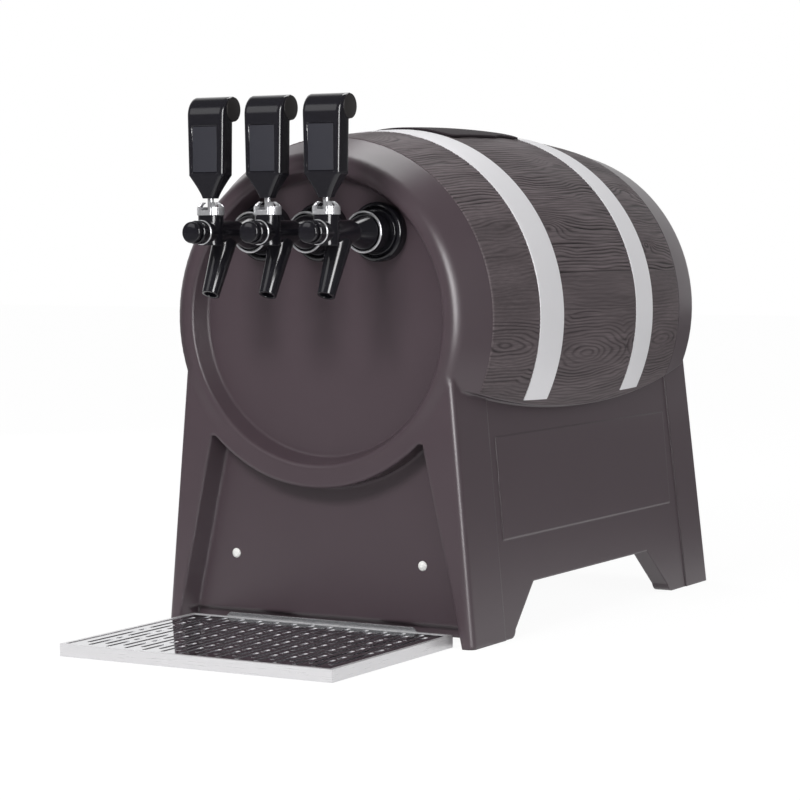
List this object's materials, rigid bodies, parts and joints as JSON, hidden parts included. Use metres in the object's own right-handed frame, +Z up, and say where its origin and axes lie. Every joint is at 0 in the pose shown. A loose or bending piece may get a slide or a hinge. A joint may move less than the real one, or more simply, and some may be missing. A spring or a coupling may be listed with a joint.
{
  "type": "wine dispenser",
  "caption": "Counter-top drink cooler shaped like a barrel on a flared base, with lever taps over a slotted drip tray.",
  "frame": {"origin": "bottom centre of the whole object's box, tray included, on the table", "axes": "+X to the right seen from the front, +Y to the rear (the taps and the tray face -Y), +Z up"},
  "size_m": [0.3818, 0.778, 0.5271],
  "materials": {
    "casing_plastic": "satin charcoal, wood grain moulded into the barrel",
    "hoop_metal": "satin pale grey",
    "black_plastic": "glossy black",
    "chrome": "bright plated",
    "tray_steel": "brushed sides, polished grate",
    "sheet_steel": "plain rolled",
    "white_plastic": "satin white",
    "rubber": "matte black",
    "foam": "rigid cream foam",
    "cooling_metal": "plain",
    "compressor_iron": "black enamel"
  },
  "bodies": {
    "cabinet": {"casing": "casing_plastic", "rear_panel": "casing_plastic", "front_hoop": "hoop_metal", "rear_hoop": "hoop_metal", "shank_flange_left": "black_plastic", "shank_flange_middle": "black_plastic", "shank_flange_right": "black_plastic", "coupling_collar_left": "black_plastic", "coupling_collar_middle": "black_plastic", "coupling_collar_right": "black_plastic", "tap_body_left": "black_plastic", "tap_body_middle": "black_plastic", "tap_body_right": "black_plastic", "button_gland_left": "black_plastic", "button_gland_middle": "black_plastic", "button_gland_right": "black_plastic", "mains_inlet": "black_plastic", "agitator_motor": "black_plastic", "fan_motor": "black_plastic", "crown_nut_left": "chrome", "crown_nut_middle": "chrome", "crown_nut_right": "chrome", "tap_rings": "chrome", "tray_bracket": "tray_steel", "rear_screws": "tray_steel", "underside_screws": "tray_steel", "chassis": "sheet_steel", "tap_shanks": "sheet_steel", "shank_nuts": "sheet_steel", "tank_liner": "sheet_steel", "product_coils": "sheet_steel", "product_inlets": "sheet_steel", "panel_plugs": "white_plastic", "thermostat": "white_plastic", "product_lines": "white_plastic", "tank_cover": "white_plastic", "lid_gasket": "rubber", "tank_foam": "foam", "evaporator": "cooling_metal", "condenser": "cooling_metal", "compressor": "compressor_iron"},
    "lid": {"fill_lid": "casing_plastic"},
    "lever_left": {"tap_handle_left": "black_plastic", "lever_stem_left": "chrome"},
    "lever_middle": {"tap_handle_middle": "black_plastic", "lever_stem_middle": "chrome"},
    "lever_right": {"tap_handle_right": "black_plastic", "lever_stem_right": "chrome"},
    "button_left": {"front_button_left": "black_plastic"},
    "button_middle": {"front_button_middle": "black_plastic"},
    "button_right": {"front_button_right": "black_plastic"},
    "knob": {"thermostat_knob": "black_plastic"},
    "rocker": {"power_rocker": "black_plastic"},
    "fan": {"fan_blade": "black_plastic"},
    "piston_left": {"valve_piston_left": "chrome"},
    "piston_middle": {"valve_piston_middle": "chrome"},
    "piston_right": {"valve_piston_right": "chrome"},
    "tray": {"drip_tray": "tray_steel"},
    "grate": {"drip_grate": "tray_steel"},
    "agitator": {"agitator": "sheet_steel"}
  },
  "joints": [
    {"name": "lever_left_pull", "type": "hinge", "parent": "cabinet", "child": "lever_left", "pos_m": [-0.065, -0.256, 0.409], "axis": [1, 0, 0], "range_deg": [0, 28]},
    {"name": "piston_left_slide", "type": "slide", "parent": "cabinet", "child": "piston_left", "axis": [0, 1, 0], "range_m": [0, 0.0058]},
    {"name": "button_left_press", "type": "slide", "parent": "cabinet", "child": "button_left", "axis": [0, 1, 0], "range_m": [0, 0.0035], "stiffness_N_per_m": 800},
    {"name": "lever_middle_pull", "type": "hinge", "parent": "cabinet", "child": "lever_middle", "pos_m": [0, -0.256, 0.409], "axis": [1, 0, 0], "range_deg": [0, 28]},
    {"name": "piston_middle_slide", "type": "slide", "parent": "cabinet", "child": "piston_middle", "axis": [0, 1, 0], "range_m": [0, 0.0058]},
    {"name": "button_middle_press", "type": "slide", "parent": "cabinet", "child": "button_middle", "axis": [0, 1, 0], "range_m": [0, 0.0035], "stiffness_N_per_m": 800},
    {"name": "lever_right_pull", "type": "hinge", "parent": "cabinet", "child": "lever_right", "pos_m": [0.065, -0.256, 0.409], "axis": [1, 0, 0], "range_deg": [0, 28]},
    {"name": "piston_right_slide", "type": "slide", "parent": "cabinet", "child": "piston_right", "axis": [0, 1, 0], "range_m": [0, 0.0058]},
    {"name": "button_right_press", "type": "slide", "parent": "cabinet", "child": "button_right", "axis": [0, 1, 0], "range_m": [0, 0.0035], "stiffness_N_per_m": 800},
    {"name": "lid_lift", "type": "slide", "parent": "cabinet", "child": "lid", "axis": [0, 0, 1], "range_m": [0, 0.06]},
    {"name": "tray_pull", "type": "slide", "parent": "cabinet", "child": "tray", "axis": [0, -1, 0], "range_m": [0, 0.12]},
    {"name": "grate_lift", "type": "slide", "parent": "tray", "child": "grate", "axis": [0, 0, 1], "range_m": [0, 0.04]},
    {"name": "agitator_turn", "type": "hinge", "parent": "cabinet", "child": "agitator", "pos_m": [0.0325, -0.045, 0.3], "axis": [0, 0, 1], "continuous": true},
    {"name": "fan_turn", "type": "hinge", "parent": "cabinet", "child": "fan", "pos_m": [0, 0.291, 0.125], "axis": [0, 1, 0], "continuous": true},
    {"name": "knob_turn", "type": "hinge", "parent": "cabinet", "child": "knob", "pos_m": [0.092, 0.3584, 0.248], "axis": [0, 1, 0], "range_deg": [0, 270]},
    {"name": "rocker_tip", "type": "hinge", "parent": "cabinet", "child": "rocker", "pos_m": [-0.092, 0.358, 0.255], "axis": [1, 0, 0], "range_deg": [0, 20]}
  ],
  "couplings": [
    {"joint": "piston_left_slide", "follows": "lever_left_pull", "m_per_rad": 0.0114},
    {"joint": "piston_middle_slide", "follows": "lever_middle_pull", "m_per_rad": 0.0114},
    {"joint": "piston_right_slide", "follows": "lever_right_pull", "m_per_rad": 0.0114}
  ]
}
